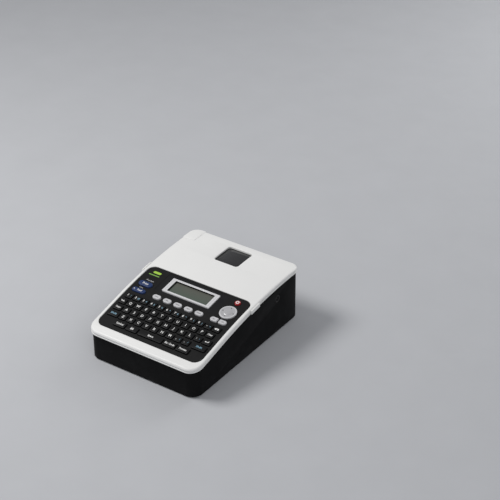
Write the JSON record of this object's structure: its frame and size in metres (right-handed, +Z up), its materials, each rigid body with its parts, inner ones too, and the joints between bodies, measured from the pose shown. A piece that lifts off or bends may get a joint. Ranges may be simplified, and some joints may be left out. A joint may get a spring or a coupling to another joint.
{
  "type": "label maker",
  "caption": "Desktop label maker with a sloping keyboard, small display, hinged cassette lid with window, corner cutter button and battery bay.",
  "frame": {"origin": "on the ground below the middle of the body", "axes": "+Z up, keyboard faces -Y, +X to the right as the user sees it"},
  "size_m": [0.1372, 0.183, 0.06],
  "materials": {
    "white_cover": "satin white, fine texture",
    "black_base": "black, fine texture",
    "charcoal_panel": "satin charcoal",
    "key_black": "soft-touch black with light legends",
    "key_blue": "dark blue with white legends",
    "key_silver": "light grey, satin",
    "key_red": "red, glossy",
    "bezel_silver": "silver paint",
    "lcd_glass": "grey-green display behind clear cover",
    "lcd_frame": "dark moulding",
    "smoked_window": "smoked, glossy",
    "dome_sheet": "grey silicone",
    "circuit_board": "green solder mask",
    "steel": "bright steel",
    "aluminium": "bare",
    "head_ceramic": "glazed cream",
    "brass": "bare",
    "nylon": "natural nylon",
    "roller_rubber": "matt black"
  },
  "bodies": {
    "case": {"base_case": "black_base", "top_case": "white_cover", "keyboard_panel": "charcoal_panel", "lcd_bezel": "bezel_silver", "lcd_lens": "lcd_glass", "lcd_module": "lcd_frame", "key_dome_sheet": "dome_sheet", "main_board": "circuit_board", "dc_jack": "black_base", "battery_tray": "black_base", "battery_spring_plate": "steel", "battery_contact_plate": "steel", "cassette_bay": "black_base", "motor": "steel", "print_head": "head_ceramic", "heat_sink": "aluminium", "rubber_foot_1": "roller_rubber", "rubber_foot_2": "roller_rubber", "rubber_foot_3": "roller_rubber", "rubber_foot_4": "roller_rubber", "case_screw_1": "steel", "case_screw_2": "steel", "case_screw_3": "steel", "case_screw_4": "steel"},
    "lid": {"cassette_lid": "white_cover", "lid_window": "smoked_window"},
    "door": {"battery_door": "black_base"},
    "cutter_key": {"cutter_button": "white_cover"},
    "blade": {"cutter_blade": "steel"},
    "holder": {"roller_holder": "black_base"},
    "platen": {"platen_roller": "roller_rubber", "platen_gear": "nylon"},
    "feed": {"feed_roller": "roller_rubber"},
    "ribbon": {"ribbon_spindle": "nylon", "ribbon_gear": "nylon"},
    "pinion": {"motor_pinion": "brass"},
    "idler": {"idler_gear": "nylon"},
    "transfer": {"transfer_gear": "nylon"},
    "nav_rocker": {"nav_pivot": "black_base"},
    "nav_top": {"nav_pad": "key_silver"},
    "number_key_row_body": {"number_key_row": "key_black"},
    "qwerty_key_row_body": {"qwerty_key_row": "key_black"},
    "home_key_row_body": {"home_key_row": "key_black"},
    "shift_key_row_body": {"shift_key_row": "key_black"},
    "symbol_key_body": {"symbol_key": "key_black"},
    "accent_key_body": {"accent_key": "key_black"},
    "space_key_body": {"space_key": "key_black"},
    "barcode_key_body": {"barcode_key": "key_black"},
    "format_key_body": {"format_key": "key_black"},
    "print_key_body": {"print_key": "key_blue"},
    "feed_key_body": {"feed_key": "key_blue"},
    "power_key_body": {"power_key": "key_red"},
    "escape_key_body": {"escape_key": "key_silver"},
    "ok_key_body": {"ok_key": "key_silver"},
    "function_key_1_body": {"function_key_1": "key_silver"},
    "function_key_2_body": {"function_key_2": "key_silver"},
    "function_key_3_body": {"function_key_3": "key_silver"},
    "function_key_4_body": {"function_key_4": "key_silver"},
    "function_key_5_body": {"function_key_5": "key_silver"}
  },
  "joints": [
    {"name": "lid_hinge", "type": "hinge", "parent": "case", "child": "lid", "pos_m": [0, 0.0904, 0.0534], "axis": [-1, 0, 0], "range_deg": [0, 95]},
    {"name": "battery_door_slide", "type": "slide", "parent": "case", "child": "door", "axis": [0, 1, 0], "range_m": [0, 0.066]},
    {"name": "cutter_press", "type": "slide", "parent": "case", "child": "cutter_key", "axis": [0, 0, -1], "range_m": [0, 0.004], "stiffness_N_per_m": 500},
    {"name": "blade_slide", "type": "slide", "parent": "case", "child": "blade", "axis": [0, -1, 0], "range_m": [0, 0.004]},
    {"name": "holder_slide", "type": "slide", "parent": "case", "child": "holder", "axis": [0, 1, 0], "range_m": [0, 0.003], "stiffness_N_per_m": 400},
    {"name": "idler_spin", "type": "hinge", "parent": "case", "child": "idler", "pos_m": [-0.04755, 0.05131, 0.0233], "axis": [0, 0, 1], "continuous": true},
    {"name": "pinion_spin", "type": "hinge", "parent": "case", "child": "pinion", "pos_m": [-0.054, 0.0345, 0.0233], "axis": [0, 0, 1], "continuous": true},
    {"name": "transfer_spin", "type": "hinge", "parent": "case", "child": "transfer", "pos_m": [-0.02388, 0.04732, 0.0233], "axis": [0, 0, 1], "continuous": true},
    {"name": "ribbon_spin", "type": "hinge", "parent": "case", "child": "ribbon", "pos_m": [-0.005, 0.0565, 0.0233], "axis": [0, 0, 1], "continuous": true},
    {"name": "platen_spin", "type": "hinge", "parent": "holder", "child": "platen", "pos_m": [-0.048, 0.0713, 0.0233], "axis": [0, 0, 1], "continuous": true},
    {"name": "feed_spin", "type": "hinge", "parent": "holder", "child": "feed", "pos_m": [-0.0555, 0.0708, 0.0233], "axis": [0, 0, 1], "continuous": true},
    {"name": "number_key_row_press", "type": "slide", "parent": "case", "child": "number_key_row_body", "axis": [0, 0.2211, -0.9753], "range_m": [0, 0.0008], "stiffness_N_per_m": 600},
    {"name": "qwerty_key_row_press", "type": "slide", "parent": "case", "child": "qwerty_key_row_body", "axis": [0, 0.2334, -0.9724], "range_m": [0, 0.0008], "stiffness_N_per_m": 600},
    {"name": "home_key_row_press", "type": "slide", "parent": "case", "child": "home_key_row_body", "axis": [0, 0.2334, -0.9724], "range_m": [0, 0.0008], "stiffness_N_per_m": 600},
    {"name": "shift_key_row_press", "type": "slide", "parent": "case", "child": "shift_key_row_body", "axis": [0, 0.2334, -0.9724], "range_m": [0, 0.0008], "stiffness_N_per_m": 600},
    {"name": "symbol_key_press", "type": "slide", "parent": "case", "child": "symbol_key_body", "axis": [0, 0.2334, -0.9724], "range_m": [0, 0.0008], "stiffness_N_per_m": 600},
    {"name": "accent_key_press", "type": "slide", "parent": "case", "child": "accent_key_body", "axis": [0, 0.2334, -0.9724], "range_m": [0, 0.0008], "stiffness_N_per_m": 600},
    {"name": "space_key_press", "type": "slide", "parent": "case", "child": "space_key_body", "axis": [0, 0.2334, -0.9724], "range_m": [0, 0.0008], "stiffness_N_per_m": 600},
    {"name": "barcode_key_press", "type": "slide", "parent": "case", "child": "barcode_key_body", "axis": [0, 0.2334, -0.9724], "range_m": [0, 0.0008], "stiffness_N_per_m": 600},
    {"name": "format_key_press", "type": "slide", "parent": "case", "child": "format_key_body", "axis": [0, 0.2334, -0.9724], "range_m": [0, 0.0008], "stiffness_N_per_m": 600},
    {"name": "print_key_press", "type": "slide", "parent": "case", "child": "print_key_body", "axis": [0, 0.1803, -0.9836], "range_m": [0, 0.0008], "stiffness_N_per_m": 600},
    {"name": "feed_key_press", "type": "slide", "parent": "case", "child": "feed_key_body", "axis": [0, 0.2013, -0.9795], "range_m": [0, 0.0008], "stiffness_N_per_m": 600},
    {"name": "power_key_press", "type": "slide", "parent": "case", "child": "power_key_body", "axis": [0, 0.1415, -0.9899], "range_m": [0, 0.0008], "stiffness_N_per_m": 600},
    {"name": "escape_key_press", "type": "slide", "parent": "case", "child": "escape_key_body", "axis": [0, 0.2003, -0.9797], "range_m": [0, 0.0008], "stiffness_N_per_m": 600},
    {"name": "ok_key_press", "type": "slide", "parent": "case", "child": "ok_key_body", "axis": [0, 0.2003, -0.9797], "range_m": [0, 0.0008], "stiffness_N_per_m": 600},
    {"name": "function_key_1_press", "type": "slide", "parent": "case", "child": "function_key_1_body", "axis": [0, 0.2003, -0.9797], "range_m": [0, 0.0008], "stiffness_N_per_m": 600},
    {"name": "function_key_2_press", "type": "slide", "parent": "case", "child": "function_key_2_body", "axis": [0, 0.2003, -0.9797], "range_m": [0, 0.0008], "stiffness_N_per_m": 600},
    {"name": "function_key_3_press", "type": "slide", "parent": "case", "child": "function_key_3_body", "axis": [0, 0.2003, -0.9797], "range_m": [0, 0.0008], "stiffness_N_per_m": 600},
    {"name": "function_key_4_press", "type": "slide", "parent": "case", "child": "function_key_4_body", "axis": [0, 0.2003, -0.9797], "range_m": [0, 0.0008], "stiffness_N_per_m": 600},
    {"name": "function_key_5_press", "type": "slide", "parent": "case", "child": "function_key_5_body", "axis": [0, 0.2003, -0.9797], "range_m": [0, 0.0008], "stiffness_N_per_m": 600},
    {"name": "nav_tilt_x", "type": "hinge", "parent": "case", "child": "nav_rocker", "pos_m": [0.0494, -0.0121, 0.05232], "axis": [1, 0, 0], "range_deg": [-3, 3], "stiffness_Nm_per_rad": 0.05},
    {"name": "nav_tilt_y", "type": "hinge", "parent": "nav_rocker", "child": "nav_top", "pos_m": [0.0494, -0.0121, 0.05232], "axis": [0, 0.9849, 0.1729], "range_deg": [-3, 3], "stiffness_Nm_per_rad": 0.05}
  ],
  "couplings": [
    {"joint": "pinion_spin", "follows": "idler_spin", "ratio": -2.6},
    {"joint": "transfer_spin", "follows": "idler_spin", "ratio": -1.1818},
    {"joint": "ribbon_spin", "follows": "idler_spin", "ratio": 1.3},
    {"joint": "platen_spin", "follows": "idler_spin", "ratio": -1.8571},
    {"joint": "feed_spin", "follows": "idler_spin", "ratio": -4.1364},
    {"joint": "blade_slide", "follows": "cutter_press", "ratio": 1}
  ]
}
